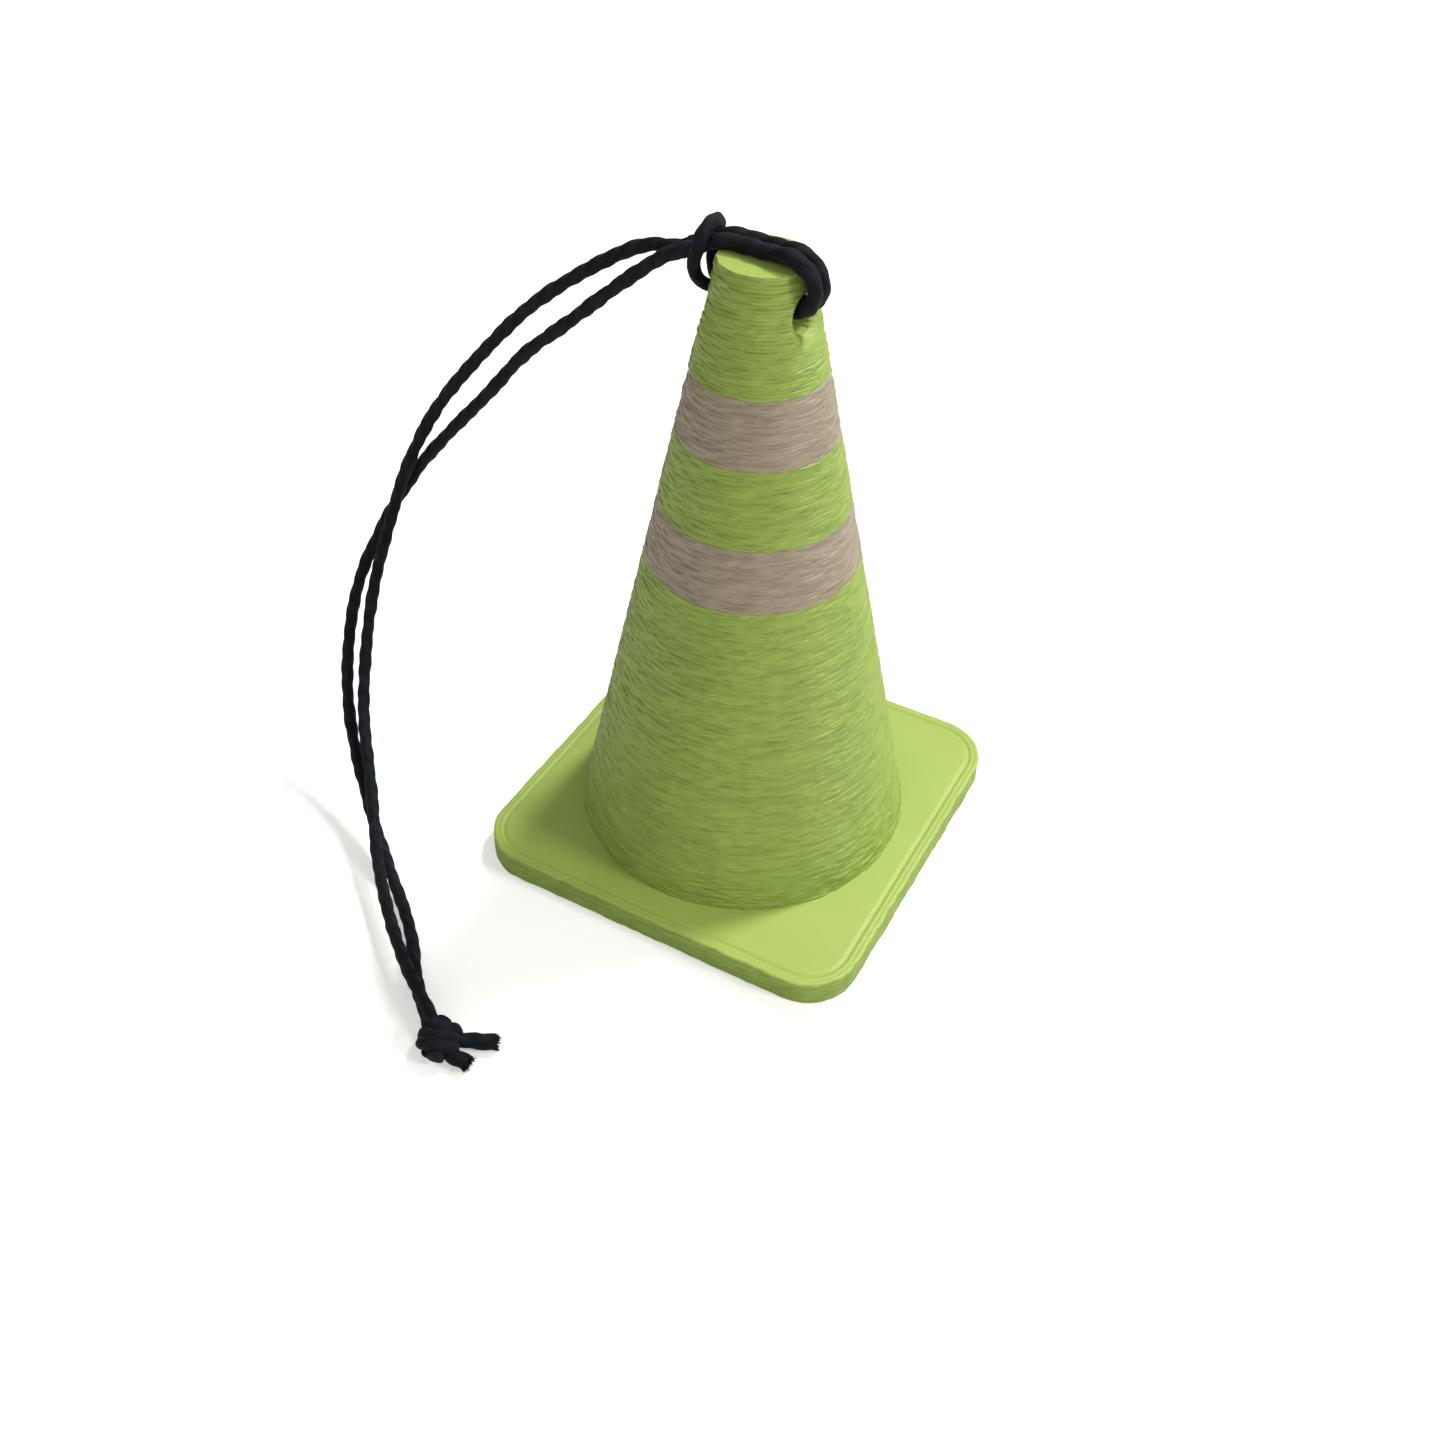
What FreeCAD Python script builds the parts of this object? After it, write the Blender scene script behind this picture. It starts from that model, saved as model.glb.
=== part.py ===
import FreeCAD, Part
import os
import math

# A small printed traffic cone on a square foot, with a doubled cord hitched through its tip.
# Millimetres, +Z up.  The origin is the centre of the foot's underside.
# The tunnel for the cord runs along X.

V = FreeCAD.Vector

# ---- driving dimensions: foot ----
FOOT_SIDE = 38.0
FOOT_CORNER_RADIUS = 5.0
FOOT_THICKNESS = 2.6

# ---- driving dimensions: cone ----
CONE_HEIGHT = 58.4          # underside of the foot to the flat tip
CONE_FOOT_RADIUS = 15.6     # where the cone meets the foot
CONE_TIP_RADIUS = 3.55
LOWER_BAND_BOTTOM = 32.0
LOWER_BAND_TOP = 37.4
UPPER_BAND_BOTTOM = 43.9
UPPER_BAND_TOP = 49.4

# ---- driving dimensions: walls and infill of the print ----
WALL = 1.35                 # three beads, measured square to Z
INFILL_WALL = 0.45          # one bead
INFILL_PITCH = 5.0
INFILL_GAP = 0.05           # left between the infill's edges and the wall
TIP_FLOOR = 1.2             # solid layers under the tunnel

# ---- driving dimensions: tunnel for the cord ----
TUNNEL_DIAMETER = 3.0
TUNNEL_MOUTH_RADIUS = 0.9   # rounding of both mouths
TUNNEL_DEPTH = 3.9          # flat tip down to the tunnel's axis

# ---- driving dimensions: cord ----
CORD_DIAMETER = 1.1
PAIR_SPACING = 1.16         # between the centre lines of the two standing strands
CORD_EXIT_GAP = 0.1         # between the held cord and the loop that lifts
CORD_LEAD = 1.6             # straight stretch of each free strand out of the hitch
KNOT_LENGTH = 4.6
KNOT_WIDTH = 3.5
KNOT_HEIGHT = 2.9
RUN_SHARE = 0.45            # share of the shorter run that an arc takes up

TUNNEL_HEIGHT = CONE_HEIGHT - TUNNEL_DEPTH
CORD_RADIUS = CORD_DIAMETER / 2.0


def cone_radius(z):
    """Outer radius of the cone at the height z."""
    rise = (z - FOOT_THICKNESS) / (CONE_HEIGHT - FOOT_THICKNESS)
    return CONE_FOOT_RADIUS + rise * (CONE_TIP_RADIUS - CONE_FOOT_RADIUS)


def frustum(bottom, top, inset):
    """Solid slice of the cone between two heights, drawn in by inset all round."""
    return Part.makeCone(
        cone_radius(bottom) - inset,
        cone_radius(top) - inset,
        top - bottom,
        V(0, 0, bottom),
    )


def cone_ring(bottom, top):
    """Hollow slice of the cone: the printed wall between two heights."""
    return frustum(bottom, top, 0.0).cut(frustum(bottom, top, WALL))


def make_foot():
    """Square foot plate with rounded corners."""
    plate = Part.makeBox(
        FOOT_SIDE,
        FOOT_SIDE,
        FOOT_THICKNESS,
        V(-FOOT_SIDE / 2.0, -FOOT_SIDE / 2.0, 0),
    )
    upright = [e for e in plate.Edges if abs(e.tangentAt(e.FirstParameter).z) > 0.9]
    return plate.makeFillet(FOOT_CORNER_RADIUS, upright)


def make_infill(bottom, top):
    """Square grid of single-bead walls that fills one slice of the hollow cone."""
    reach = cone_radius(bottom)
    count = int(reach / INFILL_PITCH) + 1
    walls = []
    for step in range(-count, count + 1):
        offset = step * INFILL_PITCH - INFILL_WALL / 2.0
        along_y = Part.makeBox(INFILL_WALL, 2 * reach, top - bottom, V(offset, -reach, bottom))
        along_x = Part.makeBox(2 * reach, INFILL_WALL, top - bottom, V(-reach, offset, bottom))
        walls.append(along_y)
        walls.append(along_x)
    grid = walls[0].multiFuse(walls[1:]).removeSplitter()
    return grid.common(frustum(bottom, top, WALL + INFILL_GAP))


def make_tip():
    """Tip of the cone, closed over the hollow, with the cord's tunnel through it."""
    hollow_top = TUNNEL_HEIGHT - TUNNEL_DIAMETER / 2.0 - TIP_FLOOR
    tip = frustum(UPPER_BAND_TOP, CONE_HEIGHT, 0.0)
    tip = tip.cut(frustum(UPPER_BAND_TOP, hollow_top, WALL))
    reach = cone_radius(UPPER_BAND_TOP)
    tunnel = Part.makeCylinder(
        TUNNEL_DIAMETER / 2.0,
        2 * reach,
        V(-reach, 0, TUNNEL_HEIGHT),
        V(1, 0, 0),
    )
    tip = tip.cut(tunnel)
    mouths = []
    for edge in tip.Edges:
        box = edge.BoundBox
        near_axis = abs(box.Center.z - TUNNEL_HEIGHT) < 0.5
        if near_axis and abs(box.ZLength - TUNNEL_DIAMETER) < 0.05 and abs(box.Center.x) > 1.0:
            mouths.append(edge)
    return tip.makeFillet(TUNNEL_MOUTH_RADIUS, mouths)


def route_wire(name, points):
    """Straight runs joined by tangent arcs, each arc as large as its two runs allow."""
    edges = []
    radii = []
    start = points[0]
    for before, corner, after in zip(points, points[1:], points[2:]):
        into = (corner - before).normalize()
        out = (after - corner).normalize()
        half_turn = into.getAngle(out) / 2.0
        reach = RUN_SHARE * min((corner - before).Length, (after - corner).Length)
        radius = reach / math.tan(half_turn)
        arc_start = corner - into * reach
        arc_end = corner + out * reach
        towards_centre = (out - into).normalize()
        middle = corner + towards_centre * (radius / math.cos(half_turn) - radius)
        edges.append(Part.LineSegment(start, arc_start).toShape())
        edges.append(Part.Arc(arc_start, middle, arc_end).toShape())
        radii.append(round(radius, 1))
        start = arc_end
    edges.append(Part.LineSegment(start, points[-1]).toShape())
    print(name, "arc radii", radii)
    return Part.Wire(edges)


def make_cord(name, points):
    """Round cord along a route; its volume is compared with its section times its length."""
    wire = route_wire(name, points)
    along = (points[1] - points[0]).normalize()
    section = Part.Wire(Part.Circle(points[0], along, CORD_RADIUS).toShape())
    cord = wire.makePipeShell([section], True, False)
    expected = math.pi * CORD_RADIUS ** 2 * wire.Length
    print(name, "length", round(wire.Length, 1), "volume ratio", round(cord.Volume / expected, 4))
    return cord


# ---- route of the held cord, as the middle of the pair of standing strands ----
# From the loop's end, over the tip, round the far rim and back through the tunnel.
PAIR_ROUTE = [
    V(-6.20, -0.40, 57.72),
    V(-5.15, -0.30, 58.16),
    V(-3.85, -0.05, 59.02),
    V(-1.80, 0.30, 59.00),
    V(0.60, 0.00, 59.06),
    V(3.00, -0.50, 59.50),
    V(4.85, -0.75, 58.30),
    V(4.85, -0.60, 56.55),
    V(3.85, -0.15, 55.35),
    V(2.30, 0.00, 55.10),
    V(-0.30, 0.00, 55.15),
    V(-2.80, 0.00, 55.15),
]

# The bight: out of the near side of the tunnel, over the pair as a collar and back in.
BIGHT_ROUTE = [
    V(-2.80, 0.58, 55.15),
    V(-4.10, 0.58, 55.15),
    V(-5.05, 1.15, 56.00),
    V(-5.00, 1.62, 57.30),
    V(-4.75, 1.66, 58.50),
    V(-4.45, 1.22, 59.78),
    V(-4.30, -0.20, 60.14),
    V(-4.35, -1.62, 59.72),
    V(-4.60, -2.02, 58.50),
    V(-4.90, -1.95, 57.20),
    V(-5.00, -1.35, 56.00),
    V(-4.10, -0.58, 55.15),
    V(-2.80, -0.58, 55.15),
]

# ---- routes of the two free strands, hitch to knot ----
STRAND_A_ROUTE = [
    V(-10.3, 0.2, 56.9),
    V(-15.2, -0.4, 53.8),
    V(-20.9, -1.0, 49.3),
    V(-26.2, -1.4, 43.4),
    V(-30.9, -2.3, 37.5),
    V(-34.1, -3.7, 31.1),
    V(-35.8, -5.6, 24.7),
    V(-36.6, -8.3, 18.7),
    V(-35.8, -11.7, 13.2),
    V(-33.7, -15.7, 8.7),
    V(-30.0, -19.8, 5.1),
    V(-26.0, -24.7, 3.0),
    V(-21.2, -29.4, 2.1),
    V(-15.8, -33.7, 2.1),
    V(-12.0, -35.9, 2.1),
    V(-9.3, -37.7, 1.9),
]
STRAND_B_ROUTE = [
    V(-9.8, -1.1, 55.4),
    V(-13.0, -1.0, 52.6),
    V(-17.5, -1.0, 48.4),
    V(-21.9, -0.9, 44.6),
    V(-25.6, -1.1, 39.9),
    V(-30.0, -1.6, 35.0),
    V(-34.1, -2.6, 29.9),
    V(-37.2, -4.8, 24.0),
    V(-38.9, -8.0, 18.3),
    V(-38.1, -11.9, 12.3),
    V(-35.6, -15.7, 7.8),
    V(-30.6, -20.2, 3.7),
    V(-24.6, -24.9, 1.5),
    V(-18.5, -29.4, 0.8),
    V(-14.2, -34.3, 0.7),
    V(-11.6, -36.5, 0.9),
    V(-9.3, -38.3, 1.1),
]

# ---- the knot that ties the strands together, and its two cut tails ----
KNOT_CENTRE = V(-8.75, -38.2, 1.47)
KNOT_TURN = -62.0            # degrees from +X to the knot's long axis
TAIL_A_ROUTE = [
    V(-7.55, -37.35, 1.20),
    V(-6.55, -36.75, 0.72),
    V(-5.40, -36.05, 0.64),
    V(-4.35, -35.50, 0.64),
]
TAIL_B_ROUTE = [
    V(-7.45, -38.55, 0.95),
    V(-6.55, -38.65, 0.70),
    V(-5.75, -38.55, 0.64),
    V(-5.00, -38.60, 0.64),
]


def make_knot():
    """Outer shape of the overhand knot: an egg laid on the floor."""
    ball = Part.makeSphere(0.5)
    stretch = FreeCAD.Matrix()
    stretch.scale(KNOT_LENGTH, KNOT_WIDTH, KNOT_HEIGHT)
    egg = ball.transformGeometry(stretch)
    egg.rotate(V(0, 0, 0), V(0, 0, 1), KNOT_TURN)
    egg.translate(KNOT_CENTRE)
    return egg


def beside(points, offset):
    """A route moved sideways, along Y."""
    return [p + V(0, offset, 0) for p in points]


def free_strand(name, side, route):
    """One strand of the loop, from the held cord's end face to the knot."""
    end = PAIR_ROUTE[0] + V(0, side, 0)
    along = (PAIR_ROUTE[0] - PAIR_ROUTE[1]).normalize()
    start = end + along * CORD_EXIT_GAP
    points = [start, start + along * CORD_LEAD] + route
    return make_cord(name, points)


nodes = {}

# ---- printed cone ----
nodes["base_plate"] = make_foot()
nodes["lower_section"] = cone_ring(FOOT_THICKNESS, LOWER_BAND_BOTTOM)
nodes["lower_band"] = cone_ring(LOWER_BAND_BOTTOM, LOWER_BAND_TOP)
nodes["middle_section"] = cone_ring(LOWER_BAND_TOP, UPPER_BAND_BOTTOM)
nodes["upper_band"] = cone_ring(UPPER_BAND_BOTTOM, UPPER_BAND_TOP)
nodes["tip_section"] = make_tip()
nodes["lower_infill"] = make_infill(FOOT_THICKNESS, LOWER_BAND_BOTTOM)
nodes["lower_band_infill"] = make_infill(LOWER_BAND_BOTTOM, LOWER_BAND_TOP)
nodes["middle_infill"] = make_infill(LOWER_BAND_TOP, UPPER_BAND_BOTTOM)
nodes["upper_band_infill"] = make_infill(UPPER_BAND_BOTTOM, UPPER_BAND_TOP)

# ---- cord held by the cone ----
half_pair = PAIR_SPACING / 2.0
nodes["hitch_strand_a"] = make_cord("hitch_strand_a", beside(PAIR_ROUTE, half_pair))
nodes["hitch_strand_b"] = make_cord("hitch_strand_b", beside(PAIR_ROUTE, -half_pair))
nodes["hitch_bight"] = make_cord("hitch_bight", BIGHT_ROUTE)

# ---- loop that lifts: two free strands, their knot and its tails ----
knot = make_knot()
nodes["end_knot"] = knot
nodes["strand_a"] = free_strand("strand_a", half_pair, STRAND_A_ROUTE).cut(knot)
nodes["strand_b"] = free_strand("strand_b", -half_pair, STRAND_B_ROUTE).cut(knot)
nodes["tail_a"] = make_cord("tail_a", TAIL_A_ROUTE).cut(knot)
nodes["tail_b"] = make_cord("tail_b", TAIL_B_ROUTE).cut(knot)

os.makedirs("parts", exist_ok=True)
for node, shape in nodes.items():
    if len(shape.Solids) == 1:
        shape = shape.Solids[0]
    shape.exportStep("parts/" + node + ".step")
    box = shape.BoundBox
    print(
        node,
        "solids", len(shape.Solids),
        "valid", shape.isValid(),
        "volume", round(shape.Volume, 1),
        "z", round(box.ZMin, 2), round(box.ZMax, 2),
    )
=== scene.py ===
import math
import random
import bmesh
import bpy
from mathutils import Matrix, Vector


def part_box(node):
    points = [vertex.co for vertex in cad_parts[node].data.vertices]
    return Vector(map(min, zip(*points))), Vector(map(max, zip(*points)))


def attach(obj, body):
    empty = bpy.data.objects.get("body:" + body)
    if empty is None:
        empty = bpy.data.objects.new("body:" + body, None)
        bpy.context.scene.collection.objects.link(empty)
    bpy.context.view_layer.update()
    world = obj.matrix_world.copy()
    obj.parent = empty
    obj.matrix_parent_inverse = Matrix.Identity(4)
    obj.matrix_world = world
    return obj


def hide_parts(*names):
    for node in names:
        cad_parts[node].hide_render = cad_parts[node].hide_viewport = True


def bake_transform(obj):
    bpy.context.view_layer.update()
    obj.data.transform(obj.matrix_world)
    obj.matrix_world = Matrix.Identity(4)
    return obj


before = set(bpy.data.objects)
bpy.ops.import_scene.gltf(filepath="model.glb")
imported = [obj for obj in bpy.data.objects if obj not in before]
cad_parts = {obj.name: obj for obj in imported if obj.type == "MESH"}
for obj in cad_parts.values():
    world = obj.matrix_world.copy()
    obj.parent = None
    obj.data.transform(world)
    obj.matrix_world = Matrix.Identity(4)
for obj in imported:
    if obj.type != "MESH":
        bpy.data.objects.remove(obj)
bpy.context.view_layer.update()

MM = 0.001

# ---- the print: same sizes as the model, in metres ----
FOOT_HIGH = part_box("base_plate")[1]
FOOT_HALF = FOOT_HIGH.x
FOOT_TOP = FOOT_HIGH.z
FOOT_CORNER = 5.0 * MM
CONE_FOOT_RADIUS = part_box("lower_section")[1].x
CONE_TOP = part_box("tip_section")[1].z
CONE_TIP_RADIUS = 3.55 * MM
WALL = 1.35 * MM
TUNNEL_RADIUS = 1.5 * MM
TUNNEL_HEIGHT = CONE_TOP - 3.9 * MM
MOUTH_FLARE = 1.05 * MM      # how much wider than the bore the tunnel's mouths are
MOUTH_DEPTH = 1.15 * MM      # how far in they narrow to it

# ---- how the surface was printed ----
LAYER = 0.28 * MM
BEAD_WIDTH = 0.45 * MM
BEAD_DEPTH = 0.045 * MM      # how far the line between two layers lies in
BEAD_LOW = 0.24              # shares of a layer's height between which its bead stands full
BEAD_HIGH = 0.76
LINE_SHARE = 0.75            # how much of its layer's roughness the line between layers takes
MOUTH_STEP = 0.09 * MM       # height of the layer steps in the tunnel
FUZZ_STEP = 0.7 * MM         # spacing of the rough wall's points
FUZZ_DEPTH = 0.10 * MM
FOOT_FUZZ_SHARE = 0.6        # the foot's edge is less rough than the cone
RIM_FUZZ_SHARE = 0.15
CREASE_DEGREES = 58.0        # steeper edges between beads stay sharp
MOUTH_CREASE_DEGREES = 32.0
TIP_CROWN = 0.012 * MM       # rise of the flat tip over its last layer line
TIP_CROWN_INSET = 0.5 * MM
WALL_GRID = 0.42 * MM        # mesh spacing round the walls

# ---- cord ----
CORD_RADIUS = 0.60 * MM
BIGHT_RADIUS = 0.56 * MM     # pulled tight
TAIL_RADIUS = 0.72 * MM      # cut ends open up
HITCH_RADIUS = 0.66 * MM     # the held cord is squashed and stands a little wider
KNOT_CORE_RADIUS = 0.75 * MM
CORD_STEP = 0.14 * MM
CORD_SIDES = 20
PLY_COUNT = 3
PLY_PITCH = 5.4 * MM
PLY_CREASE = 0.06            # how far the creases between plies lie in, as a share of the radius
PAIR_HALF = 0.58 * MM        # half the spacing of the two strands held side by side
LEAD_LENGTH = 1.6 * MM       # straight stretch of each free strand out of the hitch
FIBRES_PER_STRAND = 90
FRAYED_ENDS = 70
TAIL_LIFT = 0.12 * MM        # the opened tails lie this much higher than the tight cord


def scaled(points):
    """Points given in millimetres, in metres."""
    return [Vector(p) * MM for p in points]


# The pair of held strands, from inside the tunnel over the tip to where the loop leaves.
HELD_ROUTE = scaled([
    (-2.80, 0.00, 55.15),
    (-0.30, 0.00, 55.15),
    (2.30, 0.00, 55.10),
    (3.85, -0.15, 55.35),
    (4.85, -0.60, 56.55),
    (4.85, -0.75, 58.30),
    (3.00, -0.50, 59.50),
    (0.60, 0.00, 59.06),
    (-1.80, 0.30, 59.00),
    (-3.85, -0.05, 59.02),
    (-5.15, -0.30, 58.16),
    (-6.20, -0.40, 57.72),
])
BIGHT_ROUTE = scaled([
    (-2.80, 0.58, 55.15),
    (-4.10, 0.58, 55.15),
    (-5.05, 1.15, 56.00),
    (-5.00, 1.62, 57.30),
    (-4.75, 1.66, 58.50),
    (-4.45, 1.22, 59.78),
    (-4.30, -0.20, 60.14),
    (-4.35, -1.62, 59.72),
    (-4.60, -2.02, 58.50),
    (-4.90, -1.95, 57.20),
    (-5.00, -1.35, 56.00),
    (-4.10, -0.58, 55.15),
    (-2.80, -0.58, 55.15),
])
LEAD_ALONG = (HELD_ROUTE[-1] - HELD_ROUTE[-2]).normalized()
STRAND_A_ROUTE = scaled([
    (-10.3, 0.2, 56.9),
    (-15.2, -0.4, 53.8),
    (-20.9, -1.0, 49.3),
    (-26.2, -1.4, 43.4),
    (-30.9, -2.3, 37.5),
    (-34.1, -3.7, 31.1),
    (-35.8, -5.6, 24.7),
    (-36.6, -8.3, 18.7),
    (-35.8, -11.7, 13.2),
    (-33.7, -15.7, 8.7),
    (-30.0, -19.8, 5.1),
    (-26.0, -24.7, 3.0),
    (-21.2, -29.4, 2.1),
    (-15.8, -33.7, 2.1),
    (-12.0, -35.9, 2.1),
    (-9.3, -37.7, 1.9),
])
STRAND_B_ROUTE = scaled([
    (-9.8, -1.1, 55.4),
    (-13.0, -1.0, 52.6),
    (-17.5, -1.0, 48.4),
    (-21.9, -0.9, 44.6),
    (-25.6, -1.1, 39.9),
    (-30.0, -1.6, 35.0),
    (-34.1, -2.6, 29.9),
    (-37.2, -4.8, 24.0),
    (-38.9, -8.0, 18.3),
    (-38.1, -11.9, 12.3),
    (-35.6, -15.7, 7.8),
    (-30.6, -20.2, 3.7),
    (-24.6, -24.9, 1.5),
    (-18.5, -29.4, 0.8),
    (-14.2, -34.3, 0.7),
    (-11.6, -36.5, 0.9),
    (-9.3, -38.3, 1.1),
])
KNOT_CENTRE = Vector((-8.75, -38.2, 1.47)) * MM
KNOT_TURN = math.radians(-62.0)
TAIL_A_ROUTE = scaled([
    (-8.10, -37.70, 1.35),
    (-7.00, -37.00, 0.95),
    (-5.60, -36.15, 0.70),
    (-4.75, -35.70, 0.66),
])
TAIL_B_ROUTE = scaled([
    (-8.00, -38.50, 1.10),
    (-7.00, -38.75, 0.80),
    (-6.10, -38.60, 0.70),
    (-5.60, -38.65, 0.66),
])

# ---- colours, as sRGB hex ----
LIME = "#8EA448"
LIME_DEEP = "#7D933A"
# the next two are a lighter copy of the lime for the top faces: painted light, for the light falling on
# the tops; the haze between the two is random tone
LIME_TOP_PAINTED_LIGHT = "#A0B557"
LIME_TOP_PAINTED_LIGHT_DEEP = "#99AE50"
GREY = "#9B8E7A"
GREY_DEEP = "#8A7C69"
CORD_DARK = "#04070C"
CORD_WORN = "#141C28"
PLA_IOR = 1.46


def linear(hex_colour):
    """Linear RGBA of an sRGB hex colour."""
    values = [int(hex_colour[i:i + 2], 16) / 255.0 for i in (1, 3, 5)]
    rgb = [v / 12.92 if v <= 0.04045 else ((v + 0.055) / 1.055) ** 2.4 for v in values]
    return (*rgb, 1.0)


# ---- camera first ----
def make_camera():
    """Three-quarter view from above, with room round the object."""
    place = Vector((46.21, -92.12, 108.24)) * MM
    right = Vector((0.87567, 0.48256, 0.01835))
    up = Vector((-0.34239, 0.59362, 0.72827))
    back = right.cross(up)
    data = bpy.data.cameras.new("camera")
    data.sensor_width = 36.0
    data.lens = 37.11
    data.clip_start = 0.001
    camera = bpy.data.objects.new("camera", data)
    turn = Matrix((right, up, back)).transposed().to_4x4()
    camera.matrix_world = Matrix.Translation(place) @ turn
    bpy.context.scene.collection.objects.link(camera)
    bpy.context.scene.camera = camera


# ---- materials ----
def add_node(tree, kind, settings=None, links=None):
    """Adds one shader node; settings fill its inputs or properties, links join its inputs."""
    node = tree.nodes.new(kind)
    for key, value in (settings or {}).items():
        if isinstance(key, str) and hasattr(node, key):
            setattr(node, key, value)
        else:
            node.inputs[key].default_value = value
    for key, output in (links or {}).items():
        tree.links.new(output, node.inputs[key])
    return node


def new_material(name):
    """Empty node material, and its tree."""
    material = bpy.data.materials.new(name)
    material.use_nodes = True
    material.node_tree.nodes.clear()
    return material, material.node_tree


def finish_material(tree, shader):
    """Joins the shader to the material's surface."""
    output = tree.nodes.new("ShaderNodeOutputMaterial")
    tree.links.new(shader.outputs[0], output.inputs["Surface"])


def object_place(tree):
    """Coordinates on the object, in metres."""
    return add_node(tree, "ShaderNodeTexCoord").outputs["Object"]


def noise(tree, place, scale, detail):
    """Noise from 0 to 1, about one blotch in each 1 / scale metres."""
    node = add_node(tree, "ShaderNodeTexNoise", {"Scale": scale, "Detail": detail}, {"Vector": place})
    return node.outputs["Fac"]


def two_tones(tree, mix, tones):
    """Colour between two tones, each given as the value of mix where it is reached and its hex colour."""
    ramp = add_node(tree, "ShaderNodeValToRGB", None, {"Fac": mix})
    for element, (position, tone) in zip(ramp.color_ramp.elements, tones):
        element.position = position
        element.color = linear(tone)
    return ramp.outputs["Color"]


def finish_surface(tree, colour, height, bump_strength, bump_distance, settings):
    """Principled surface of that colour, with that height as its bumps."""
    bump = add_node(
        tree,
        "ShaderNodeBump",
        {"Strength": bump_strength, "Distance": bump_distance},
        {"Height": height},
    )
    shader = add_node(
        tree,
        "ShaderNodeBsdfPrincipled",
        settings,
        {"Base Color": colour, "Normal": bump.outputs["Normal"]},
    )
    finish_material(tree, shader)


def printed_pla(name, colour, deep, roughness):
    """PLA filament, laid in layers: a satin plastic whose colour shifts a little from layer to layer."""
    material, tree = new_material(name)
    place = object_place(tree)
    # 3 mm blotches of slightly deeper colour, flattened so that they follow the layers
    flat = add_node(tree, "ShaderNodeMapping", {"Scale": (1.0, 1.0, 6.0)}, {"Vector": place})
    blotch = noise(tree, flat.outputs[0], 330.0, 4.0)
    tone = two_tones(tree, blotch, [(0.32, deep), (0.62, colour)])
    # 0.15 mm grain of the molten surface
    grain = noise(tree, place, 6500.0, 3.0)
    finish_surface(tree, tone, grain, 0.25, 0.02 * MM, {"Roughness": roughness, "IOR": PLA_IOR})
    return material


def printed_face(name, colour, deep):
    """Top face of the print: pressed flat by the nozzle, with faint lines on the slant; its colours are
    lighter than the walls', painted light for the lit top.
    """
    material, tree = new_material(name)
    place = object_place(tree)
    slant = add_node(
        tree, "ShaderNodeMapping", {"Rotation": (0.0, 0.0, math.radians(45.0))}, {"Vector": place}
    )
    # the wave texture repeats every 2 pi / (20 x scale)
    lines = add_node(
        tree,
        "ShaderNodeTexWave",
        {"Scale": 2.0 * math.pi / 20.0 / BEAD_WIDTH, "Distortion": 0.4, "Detail": 1.0},
        {"Vector": slant.outputs[0]},
    )
    # 8 mm haze
    tone = two_tones(tree, noise(tree, place, 120.0, 3.0), [(0.3, deep), (0.7, colour)])
    finish_surface(
        tree, tone, lines.outputs["Fac"], 0.12, 0.02 * MM, {"Roughness": 0.5, "IOR": PLA_IOR}
    )
    return material


def waxed_cotton(name):
    """Twisted cotton cord drawn through wax: near black, dull, paler where the wax is rubbed."""
    material, tree = new_material(name)
    place = object_place(tree)
    tone = two_tones(tree, noise(tree, place, 900.0, 5.0), [(0.45, CORD_DARK), (0.78, CORD_WORN)])
    # cotton fibres about 0.1 mm apart
    fibre = noise(tree, place, 9000.0, 4.0)
    settings = {"Roughness": 0.7, "IOR": 1.44, "Specular IOR Level": 0.2, "Sheen Weight": 0.02}
    finish_surface(tree, tone, fibre, 0.9, 0.08 * MM, settings)
    return material


# ---- mesh helpers ----
def object_from(bm, name, material, crease=None):
    """Finished smooth mesh object from a bmesh, at the origin; edges steeper than crease stay sharp."""
    bmesh.ops.remove_doubles(bm, verts=bm.verts, dist=1e-7)
    bmesh.ops.recalc_face_normals(bm, faces=bm.faces)
    mesh = bpy.data.meshes.new(name)
    bm.to_mesh(mesh)
    bm.free()
    for polygon in mesh.polygons:
        polygon.use_smooth = True
    if crease:
        mesh.set_sharp_from_angle(angle=math.radians(crease))
    piece = bpy.data.objects.new(name, mesh)
    bpy.context.scene.collection.objects.link(piece)
    mesh.materials.append(material)
    return piece


def evaluated_mesh(piece):
    """New mesh of an object as its modifiers or its curve make it."""
    bpy.context.view_layer.update()
    scene_now = bpy.context.evaluated_depsgraph_get()
    return bpy.data.meshes.new_from_object(piece.evaluated_get(scene_now))


def rough_ring(seed, length):
    """Random offsets round one printed layer, straight between points a fuzz step apart."""
    source = random.Random(seed)
    count = max(8, int(length / FUZZ_STEP))
    shift = source.random()
    points = [source.uniform(-1.0, 1.0) for _ in range(count)]

    def offset(share):
        """Offset at that share of the way round."""
        at = (share + shift) % 1.0 * count
        low = int(at) % count
        part = at - int(at)
        return FUZZ_DEPTH * (points[low] * (1 - part) + points[(low + 1) % count] * part)

    return offset


def cone_radius(z):
    """Mean radius of the cone's outside at a height."""
    rise = (z - FOOT_TOP) / (CONE_TOP - FOOT_TOP)
    return CONE_FOOT_RADIUS + rise * (CONE_TIP_RADIUS - CONE_FOOT_RADIUS)


def layer_profile(bottom, top):
    """Heights and inset of the stacked beads between two heights, three points to a layer."""
    count = max(1, round((top - bottom) / LAYER))
    pitch = (top - bottom) / count
    points = []
    for layer in range(count):
        base = bottom + layer * pitch
        points.append((base, BEAD_DEPTH, layer))
        points.append((base + BEAD_LOW * pitch, 0.0, layer))
        points.append((base + BEAD_HIGH * pitch, 0.0, layer))
    points.append((top, BEAD_DEPTH, count - 1))
    return points


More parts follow.
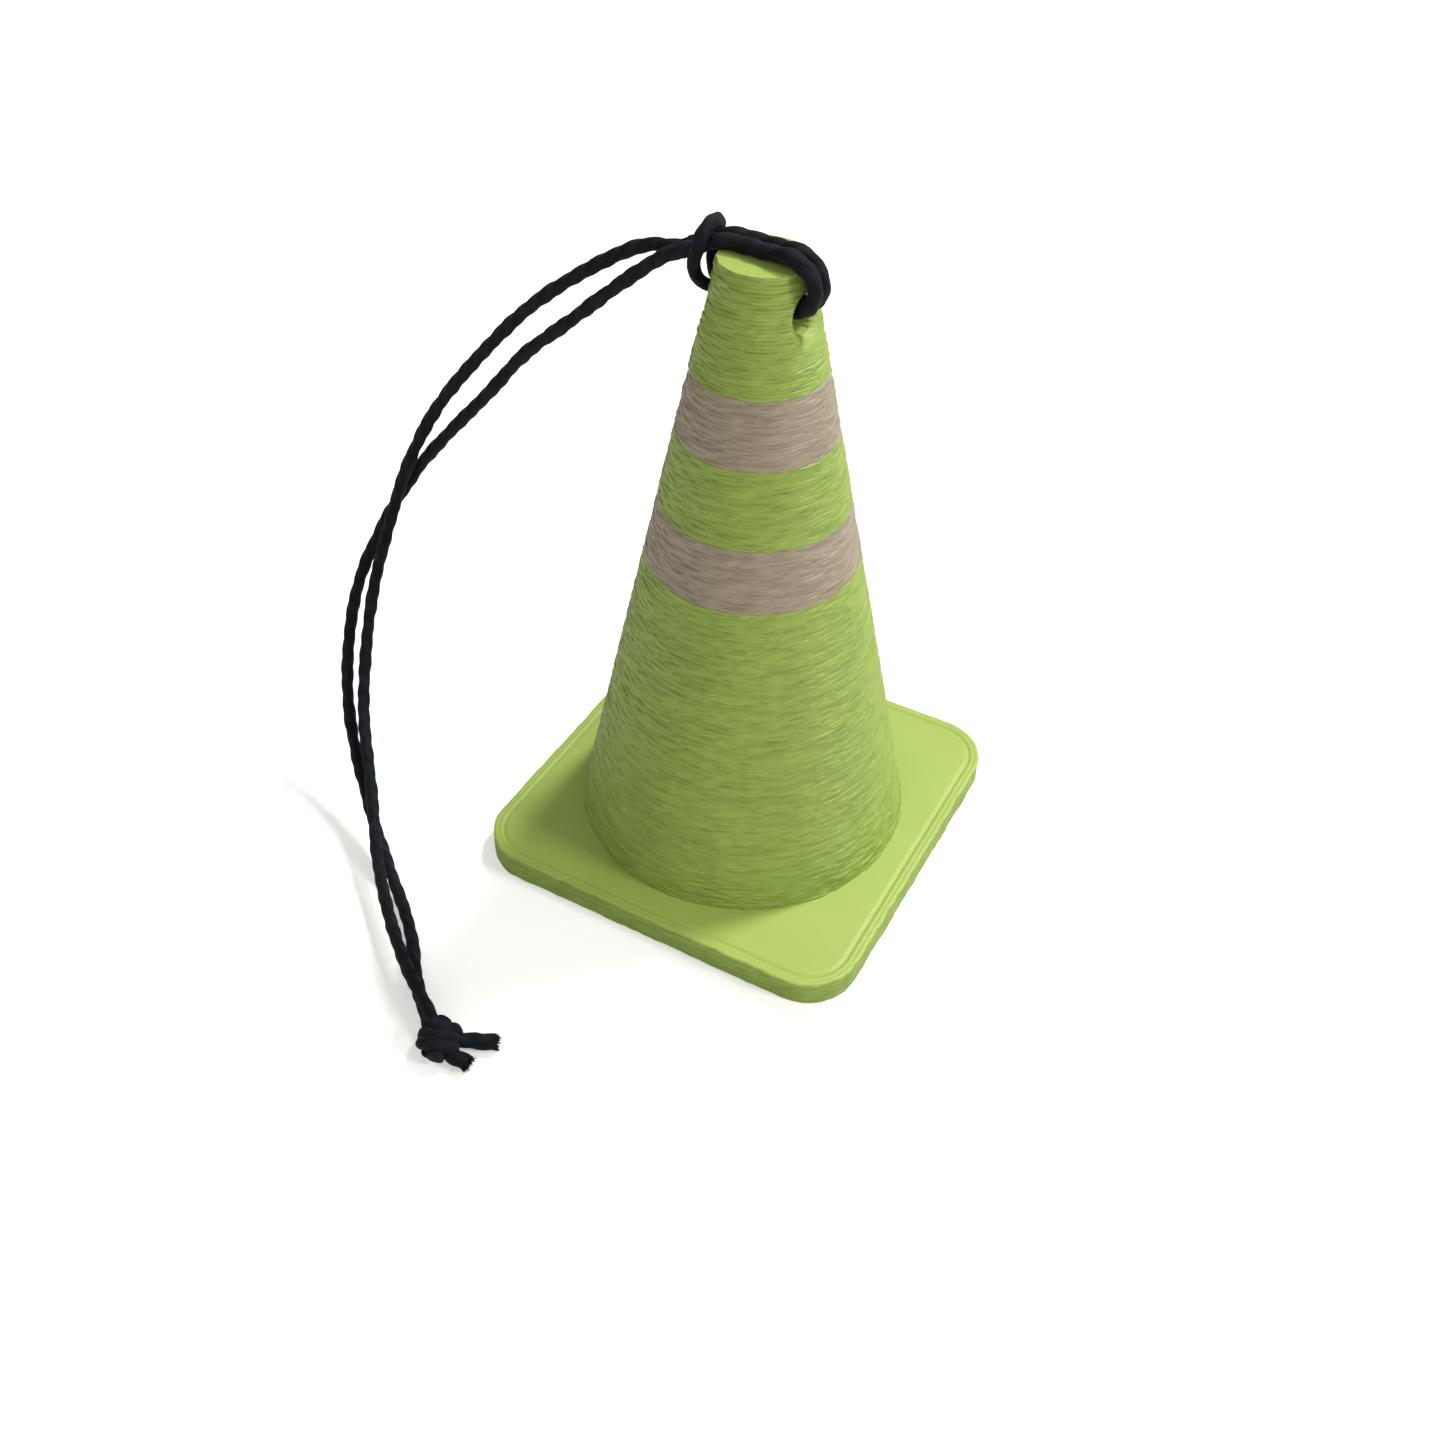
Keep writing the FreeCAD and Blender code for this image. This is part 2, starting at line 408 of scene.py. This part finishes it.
def printed_slice(name, bottom, top, material, seed, closed_top=False):
    """One coloured slice of the cone: its bead profile spun round Z, then roughened layer by layer."""
    steps = int(2 * math.pi * cone_radius(bottom) / WALL_GRID)
    outline = layer_profile(bottom, top)
    layers = {}
    bm = bmesh.new()
    chain = []
    for z, inset, layer in outline:
        chain.append(bm.verts.new((cone_radius(z) - inset, 0, z)))
        layers[round(z, 7)] = layer
    if closed_top:
        chain.append(bm.verts.new((cone_radius(top) - TIP_CROWN_INSET, 0, top + TIP_CROWN)))
        chain.append(bm.verts.new((0, 0, top + TIP_CROWN)))
        chain.insert(0, bm.verts.new((0, 0, bottom)))
    else:
        chain.append(bm.verts.new((cone_radius(top) - WALL, 0, top)))
        chain.append(bm.verts.new((cone_radius(bottom) - WALL, 0, bottom)))
        chain.append(chain[0])
    edges = [bm.edges.new(pair) for pair in zip(chain, chain[1:])]
    bmesh.ops.spin(
        bm,
        geom=list(dict.fromkeys(chain)) + edges,
        axis=(0, 0, 1),
        cent=(0, 0, 0),
        angle=2 * math.pi,
        steps=steps,
        use_merge=True,
    )
    bmesh.ops.remove_doubles(bm, verts=bm.verts, dist=1e-6)
    rings = {}
    for vert in bm.verts:
        radius = math.hypot(vert.co.x, vert.co.y)
        if radius < cone_radius(vert.co.z) - 0.2 * MM:
            continue
        layer = layers.get(round(vert.co.z, 7), 0)
        if layer not in rings:
            rings[layer] = rough_ring(seed * 1000 + layer, 2 * math.pi * cone_radius(vert.co.z))
        share = math.atan2(vert.co.y, vert.co.x) / (2 * math.pi) + 0.5
        push = rings[layer](share)
        edge_of_layer = abs(radius - (cone_radius(vert.co.z) - BEAD_DEPTH)) < 0.01 * MM
        factor = (radius + push * (LINE_SHARE if edge_of_layer else 1.0)) / radius
        vert.co.x *= factor
        vert.co.y *= factor
    return object_from(bm, name, material, crease=CREASE_DEGREES)


def skin(bm, rings):
    """Faces over closed rings of equal count, and one over each end."""
    rows = [[bm.verts.new(p) for p in ring] for ring in rings]
    for low, high in zip(rows, rows[1:]):
        for i in range(len(low)):
            j = (i + 1) % len(low)
            bm.faces.new((low[i], low[j], high[j], high[i]))
    bm.faces.new(list(reversed(rows[0])))
    bm.faces.new(rows[-1])


def joined_tubes(name, tubes, material):
    """Several closed tubes, each given by its rings, as one piece."""
    bm = bmesh.new()
    for rings in tubes:
        skin(bm, rings)
    return object_from(bm, name, material)


def loft(name, rings, material):
    """One closed tube as a piece."""
    return joined_tubes(name, [rings], material)


def foot_outline():
    """Points and outward directions round the square foot, corners as arcs."""
    inner = FOOT_HALF - FOOT_CORNER
    corners = [(inner, inner, 0), (-inner, inner, 90), (-inner, -inner, 180), (inner, -inner, 270)]
    arc_steps = 20
    side_steps = int(2 * inner / WALL_GRID)
    points = []
    for index, (x, y, start) in enumerate(corners):
        for step in range(arc_steps + 1):
            angle = math.radians(start + 90.0 * step / arc_steps)
            out = Vector((math.cos(angle), math.sin(angle), 0))
            points.append((Vector((x, y, 0)) + out * FOOT_CORNER, out))
        here, out = points[-1]
        nx, ny, _ = corners[(index + 1) % 4]
        there = Vector((nx, ny, 0)) + out * FOOT_CORNER
        for step in range(1, side_steps):
            points.append((here.lerp(there, step / side_steps), out))
    return points


def make_foot(side_material, painted_light_face_material):
    """Foot plate: rough stacked edge, smooth top with the outline beads' grooves."""
    outline = foot_outline()
    length = 8 * FOOT_HALF
    rings = []
    for z, inset, layer in layer_profile(0.0, FOOT_TOP - 0.04 * MM):
        push = rough_ring(900 + layer, length)
        ring = []
        for index, (point, out) in enumerate(outline):
            offset = push(index / len(outline)) * FOOT_FUZZ_SHARE - inset
            ring.append(point + out * offset + Vector((0, 0, z)))
        rings.append(ring)
    wavy = rough_ring(977, length)
    # inset from the edge and height of the top face: a rounded rim, then two bead grooves
    top_rows = [
        (0.10, 0.000), (0.42, 0.000), (0.47, -0.025), (0.52, 0.000),
        (0.88, 0.000), (0.95, -0.070), (1.03, -0.070), (1.10, -0.012), (1.5, -0.012),
    ]
    for inset, rise in top_rows:
        ring = []
        for index, (point, out) in enumerate(outline):
            wave = wavy(index / len(outline)) * RIM_FUZZ_SHARE
            ring.append(point - out * (inset * MM - wave) + Vector((0, 0, FOOT_TOP + rise * MM)))
        rings.append(ring)
    piece = loft("foot_plate", rings, side_material)
    # the upward top faces take the face material, whose lighter lime is painted light for the lit top
    piece.data.materials.append(painted_light_face_material)
    for polygon in piece.data.polygons:
        if polygon.center.z > FOOT_TOP - 0.085 * MM and polygon.normal.z > 0.3:
            polygon.material_index = 1
    return piece


def tunnel_cutter():
    """Shape of the tunnel: a round bore whose mouths flare out to the cone, stepped by the layers."""
    sides = 144
    mouth = 12
    rows = []
    for end in (-1, 1):
        # depth under the cone's surface and widening, from the bore out
        stations = []
        for k in range(mouth + 1):
            share = k / mouth
            stations.append((MOUTH_DEPTH * (1 - share), MOUTH_FLARE * share ** 1.6))
        stations.append((-0.4 * MM, MOUTH_FLARE + 0.5 * MM))
        made = []
        for depth, widening in [(None, 0.0)] + stations:
            ring = []
            for i in range(sides):
                angle = 2 * math.pi * i / sides
                radius = TUNNEL_RADIUS + widening
                in_layer = ((TUNNEL_HEIGHT + radius * math.cos(angle)) / LAYER) % 1.0
                radius -= MOUTH_STEP * (1 - (2 * in_layer - 1) ** 2)
                y = radius * math.sin(angle)
                z = TUNNEL_HEIGHT + radius * math.cos(angle)
                surface = math.sqrt(max(cone_radius(z) ** 2 - y * y, 0.0))
                # no depth: the ring half-way through the bore
                x = 0.0 if depth is None else end * (surface - depth)
                ring.append(Vector((x, y, z)))
            made.append(ring)
        # flat end well clear of the cone
        made.append([Vector((end * 8.0 * MM, p.y, p.z)) for p in made[-1]])
        if end < 0:
            rows += list(reversed(made))[:-1]
        else:
            rows += made[1:]
    return rows


def make_tip(material, painted_light_face_material):
    """Tip slice with the tunnel cut through it."""
    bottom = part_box("tip_section")[0].z
    tip = printed_slice("tip_slice", bottom, CONE_TOP, material, 5, closed_top=True)
    cutter = loft("tunnel_shape", tunnel_cutter(), material)
    cut = tip.modifiers.new("tunnel", "BOOLEAN")
    cut.operation = "DIFFERENCE"
    cut.solver = "EXACT"
    cut.object = cutter
    shape = evaluated_mesh(tip)
    tip.modifiers.clear()
    tip.data = shape
    bpy.data.objects.remove(cutter)
    shape.materials.clear()
    shape.materials.append(material)
    # the flat top face takes the face material, whose lighter lime is painted light for the lit top
    shape.materials.append(painted_light_face_material)
    for polygon in shape.polygons:
        polygon.use_smooth = True
        top_face = polygon.center.z > CONE_TOP - 0.02 * MM and polygon.normal.z > 0.7
        polygon.material_index = 1 if top_face else 0
    shape.set_sharp_from_angle(angle=math.radians(MOUTH_CREASE_DEGREES))
    return tip


# ---- cord helpers ----
def route_line(points):
    """Evenly spaced points read along a NURBS spline with the route's points as its control points."""
    curve = bpy.data.curves.new("line", "CURVE")
    curve.dimensions = "3D"
    spline = curve.splines.new("NURBS")
    spline.points.add(len(points) - 1)
    for target, point in zip(spline.points, points):
        target.co = (*point, 1.0)
    spline.order_u = 3
    spline.use_endpoint_u = True
    spline.resolution_u = 16
    holder = bpy.data.objects.new("line", curve)
    bpy.context.scene.collection.objects.link(holder)
    mesh = evaluated_mesh(holder)
    line = [v.co.copy() for v in mesh.vertices]
    bpy.data.objects.remove(holder)
    bpy.data.curves.remove(curve)
    bpy.data.meshes.remove(mesh)
    return evenly(line, CORD_STEP)


def evenly(line, step):
    """The same line at even spacing."""
    lengths = [0.0]
    for a, b in zip(line, line[1:]):
        lengths.append(lengths[-1] + (b - a).length)
    count = max(2, int(lengths[-1] / step))
    out = []
    at = 0
    for k in range(count + 1):
        target = lengths[-1] * k / count
        while at < len(lengths) - 2 and lengths[at + 1] < target:
            at += 1
        span = lengths[at + 1] - lengths[at]
        part = (target - lengths[at]) / span if span > 0 else 0.0
        out.append(line[at].lerp(line[at + 1], min(1.0, part)))
    return out


def tube_frames(line):
    """Tangent and a side direction that doesn't twist, at each point of a line."""
    frames = []
    side = None
    for i, point in enumerate(line):
        ahead = line[min(i + 1, len(line) - 1)] - line[max(i - 1, 0)]
        along = ahead.normalized()
        if side is None:
            side = along.orthogonal().normalized()
        side = (side - along * side.dot(along)).normalized()
        frames.append((point, along, side))
    return frames


def ply_radius(angle, radius):
    """Outline of three plies twisted together, with the creases half filled by wax."""
    sector = 2 * math.pi / PLY_COUNT
    off = (angle + sector / 2) % sector - sector / 2
    return radius * (1 - PLY_CREASE + PLY_CREASE * math.cos(off * PLY_COUNT))


def cord_rings(frames, seed, radius):
    """Rings of a twisted cord along a line, a little thicker and thinner by turns."""
    source = random.Random(seed)
    waves = [(source.uniform(0.6, 2.4), source.uniform(0, 6.28)) for _ in range(3)]
    rings = []
    run = 0.0
    for i, (point, along, side) in enumerate(frames):
        if i:
            run += (point - frames[i - 1][0]).length
        lean = side.cross(along)
        swell = 1.0 + 0.035 * sum(math.sin(run / MM * rate + phase) for rate, phase in waves)
        ring = []
        for k in range(CORD_SIDES):
            angle = 2 * math.pi * k / CORD_SIDES
            reach = ply_radius(angle - 2 * math.pi * run / PLY_PITCH, radius) * min(1.05, swell)
            ring.append(point + (side * math.cos(angle) + lean * math.sin(angle)) * reach)
        rings.append(ring)
    return rings


def beside(points, offset):
    """A route moved sideways, along Y."""
    return [p + Vector((0, offset, 0)) for p in points]


def make_strand(letter, side, route, material):
    """Held and free stretch of one strand, cut where the loop leaves the hitch."""
    held = beside(HELD_ROUTE, side)
    leave = held[-1]
    line = route_line(held + [leave + LEAD_ALONG * LEAD_LENGTH] + route)
    # first point past the hitch, not counting those in the tunnel
    in_tunnel = 60
    after = next(i for i, p in enumerate(line) if i > in_tunnel and p.x < leave.x)
    frames = tube_frames(line)
    held_rings = cord_rings(frames[:after + 1], ord(letter), HITCH_RADIUS)
    # the whole strand's rings, so that the plies carry on where it is cut
    free_rings = cord_rings(frames, ord(letter), CORD_RADIUS)[after:]
    held_piece = loft("held_strand_" + letter, held_rings, material)
    free_piece = loft("free_strand_" + letter, free_rings, material)
    return held_piece, free_piece, line[after:], frames[after:]


def make_knot(material):
    """Overhand knot in the doubled cord: slanted turns round the strands, tucked in at both ends."""
    turn = Matrix.Rotation(KNOT_TURN, 4, "Z")
    tubes = []
    turns = 1.55
    points_per_strand = 31
    # each strand's shift along the knot in mm, and its start as a share of a turn
    for strand, (shift, phase) in enumerate([(-0.52, 0.0), (0.52, 0.25)]):
        points = []
        for k in range(points_per_strand):
            share = k / (points_per_strand - 1)
            angle = 2 * math.pi * (turns * share + phase) - 0.6
            tuck = 1.0 - 0.42 * abs(2 * share - 1) ** 5
            # along, across and up the knot, in mm
            u = (-0.62 + 1.24 * share) * 1.15 + shift + 0.42 * math.cos(angle)
            v = 1.30 * math.sin(angle) * tuck
            w = 0.82 * math.cos(angle) * tuck
            points.append(KNOT_CENTRE + turn @ (Vector((u, v, w)) * MM))
        line = route_line(points)
        tubes.append(cord_rings(tube_frames(line), 70 + strand, HITCH_RADIUS))
    # the doubled cord inside, from end to end
    core = []
    for u in (-2.0, -1.0, 0.2, 1.1, 1.9):
        core.append(KNOT_CENTRE + turn @ (Vector((u, 0.1 * math.sin(u * 2), 0.05)) * MM))
    line = route_line(core)
    tubes.append(cord_rings(tube_frames(line), 75, KNOT_CORE_RADIUS))
    return joined_tubes("overhand_knot", tubes, material)


def hair_rings(start, along, length, thick, source):
    """A thin fibre that curls away and tapers to a point."""
    rings = []
    stations = 5
    point = start.copy()
    way = along.normalized()
    for k in range(stations):
        side = way.orthogonal().normalized()
        lean = side.cross(way)
        width = thick * (1 - 0.22 * k)
        around = [side * math.cos(a) + lean * math.sin(a) for a in (0, 2.1, 4.2)]
        rings.append([point + out * width for out in around])
        bend = Vector((source.uniform(-1, 1), source.uniform(-1, 1), source.uniform(-1, 1)))
        way = (way + bend * 0.35).normalized()
        point = point + way * length / (stations - 1)
        point.z = max(point.z, 0.05 * MM)
    return rings


def make_hairs(name, frames, seed, material):
    """Loose cotton fibres that stand off a cord."""
    source = random.Random(seed)
    tubes = []
    for _ in range(FIBRES_PER_STRAND):
        point, along, side = frames[source.randrange(4, len(frames) - 4)]
        angle = source.uniform(0, 2 * math.pi)
        out = side * math.cos(angle) + side.cross(along) * math.sin(angle)
        way = out + along * source.uniform(-1.2, 1.2)
        length = source.uniform(0.35, 0.9) * MM
        tubes.append(hair_rings(point + out * CORD_RADIUS * 0.85, way, length, 0.014 * MM, source))
    return joined_tubes(name, tubes, material)


def make_tail(name, route, seed, material):
    """Cut tail: a short twisted stub whose plies fray at the end."""
    line = [p + Vector((0, 0, TAIL_LIFT)) for p in route_line(route)]
    frames = tube_frames(line)
    tubes = [cord_rings(frames, seed, TAIL_RADIUS)]
    source = random.Random(seed)
    point, along, side = frames[-1]
    lean = side.cross(along)
    for _ in range(FRAYED_ENDS):
        angle = source.uniform(0, 2 * math.pi)
        reach = TAIL_RADIUS * 0.85 * math.sqrt(source.random())
        out = side * math.cos(angle) + lean * math.sin(angle)
        start = point + out * reach - along * 0.25 * MM
        way = along + out * source.uniform(0.0, 0.55)
        tubes.append(hair_rings(start, way, source.uniform(0.45, 0.8) * MM, 0.09 * MM, source))
    return joined_tubes(name, tubes, material)


# ---- what a piece stands for ----
def assign(piece, body, node):
    """The piece rides the body, and the node it stands for is hidden."""
    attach(piece, body)
    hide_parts(node)


def bend_free(piece):
    """The piece is cord that runs from the held end to the loop's body; its placement is baked into its
    mesh, and it rides no body.
    """
    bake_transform(piece)


# ---- build ----
make_camera()
lime = printed_pla("printed_lime_pla", LIME, LIME_DEEP, 0.50)
# top faces: a lighter copy of the lime, painted light for the lit tops
lime_top_painted_light = printed_face("ironed_lime_top_painted_light", LIME_TOP_PAINTED_LIGHT, LIME_TOP_PAINTED_LIGHT_DEEP)
grey = printed_pla("printed_grey_pla", GREY, GREY_DEEP, 0.52)
cotton = waxed_cotton("waxed_twisted_cotton")

held_a, free_a, path_a, frames_a = make_strand("a", PAIR_HALF, STRAND_A_ROUTE, cotton)
held_b, free_b, path_b, frames_b = make_strand("b", -PAIR_HALF, STRAND_B_ROUTE, cotton)
bight_rings = cord_rings(tube_frames(route_line(BIGHT_ROUTE)), 9, BIGHT_RADIUS)
bight = loft("bight_collar", bight_rings, cotton)
knot = make_knot(cotton)
tail_a = make_tail("cut_tail_a", TAIL_A_ROUTE, 21, cotton)
tail_b = make_tail("cut_tail_b", TAIL_B_ROUTE, 22, cotton)
hairs_a = make_hairs("strand_a_fibres", frames_a, 31, cotton)
hairs_b = make_hairs("strand_b_fibres", frames_b, 32, cotton)

foot = make_foot(lime, lime_top_painted_light)
printed = {}
for number, (node, slab, colour) in enumerate([
    ("lower_section", "lower_slice", lime),
    ("lower_band", "lower_band_slice", grey),
    ("middle_section", "middle_slice", lime),
    ("upper_band", "upper_band_slice", grey),
]):
    low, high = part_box(node)
    printed[node] = printed_slice(slab, low.z, high.z, colour, number + 1)
printed["tip_section"] = make_tip(lime, lime_top_painted_light)
printed["base_plate"] = foot

# ---- pieces to their bodies with the nodes they stand for hidden; the free strands and fibres ride no body; the infill given its material ----
for node, piece in printed.items():
    assign(piece, "root", node)
for piece, node in ((held_a, "hitch_strand_a"), (held_b, "hitch_strand_b"), (bight, "hitch_bight")):
    assign(piece, "root", node)
for node in ("lower_infill", "lower_band_infill", "middle_infill", "upper_band_infill"):
    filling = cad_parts[node]
    filling.data.materials.clear()
    filling.data.materials.append(grey if "band" in node else lime)

for free, fibres, path, node in (
    (free_a, hairs_a, path_a, "strand_a"),
    (free_b, hairs_b, path_b, "strand_b"),
):
    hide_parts(node)
    bend_free(free)
    bend_free(fibres)
for piece, node in ((knot, "end_knot"), (tail_a, "tail_a"), (tail_b, "tail_b")):
    assign(piece, "loop", node)


# ---- floor and light ----
FLOOR_LIFT = 0.40     # added to the lit floor for the camera only, so that it ends up white
ROOM_LIGHT = 0.42     # plain light from all round on the object
ROOM_WHITE = 1.1      # the same room as the camera sees it


def make_floor():
    """Plain pale floor that looks white and keeps the object's shadow."""
    bm = bmesh.new()
    bmesh.ops.create_grid(bm, x_segments=1, y_segments=1, size=1.5)
    material, tree = new_material("pale_floor")
    matte = add_node(tree, "ShaderNodeBsdfDiffuse", {"Color": (0.80, 0.79, 0.77, 1.0)})
    rays = add_node(tree, "ShaderNodeLightPath")
    lift = add_node(
        tree,
        "ShaderNodeMath",
        {"operation": "MULTIPLY", 1: FLOOR_LIFT},
        {0: rays.outputs["Is Camera Ray"]},
    )
    glow = add_node(tree, "ShaderNodeEmission", {"Color": (1, 1, 1, 1)}, {"Strength": lift.outputs[0]})
    both = add_node(tree, "ShaderNodeAddShader")
    tree.links.new(matte.outputs[0], both.inputs[0])
    tree.links.new(glow.outputs[0], both.inputs[1])
    finish_material(tree, both)
    floor = object_from(bm, "floor", material)


def make_lamp(name, place, size, energy):
    """Soft square lamp that faces the object."""
    data = bpy.data.lights.new(name, "AREA")
    data.size = size
    data.energy = energy
    lamp = bpy.data.objects.new(name, data)
    lamp.location = place
    lamp.rotation_euler = (Vector((0, 0, 0.02)) - Vector(place)).to_track_quat("-Z", "Y").to_euler()
    bpy.context.scene.collection.objects.link(lamp)


def make_room():
    """Plain light on the object from all round, and white behind it for the camera."""
    world = bpy.data.worlds.new("room")
    bpy.context.scene.world = world
    world.use_nodes = True
    tree = world.node_tree
    backdrop = tree.nodes["Background"]
    backdrop.inputs["Color"].default_value = (1.0, 0.98, 0.93, 1.0)
    rays = add_node(tree, "ShaderNodeLightPath")
    level = add_node(
        tree,
        "ShaderNodeMapRange",
        {"To Min": ROOM_LIGHT, "To Max": ROOM_WHITE},
        {"Value": rays.outputs["Is Camera Ray"]},
    )
    tree.links.new(level.outputs["Result"], backdrop.inputs["Strength"])


make_floor()
make_lamp("key_lamp", (0.12, 0.31, 0.52), 0.09, 2.9)
make_lamp("side_lamp", (0.50, 0.05, 0.36), 0.12, 1.8)
make_lamp("fill_lamp", (0.10, -0.60, 0.45), 0.60, 0.9)
make_room()
bpy.context.scene.view_settings.view_transform = "Standard"
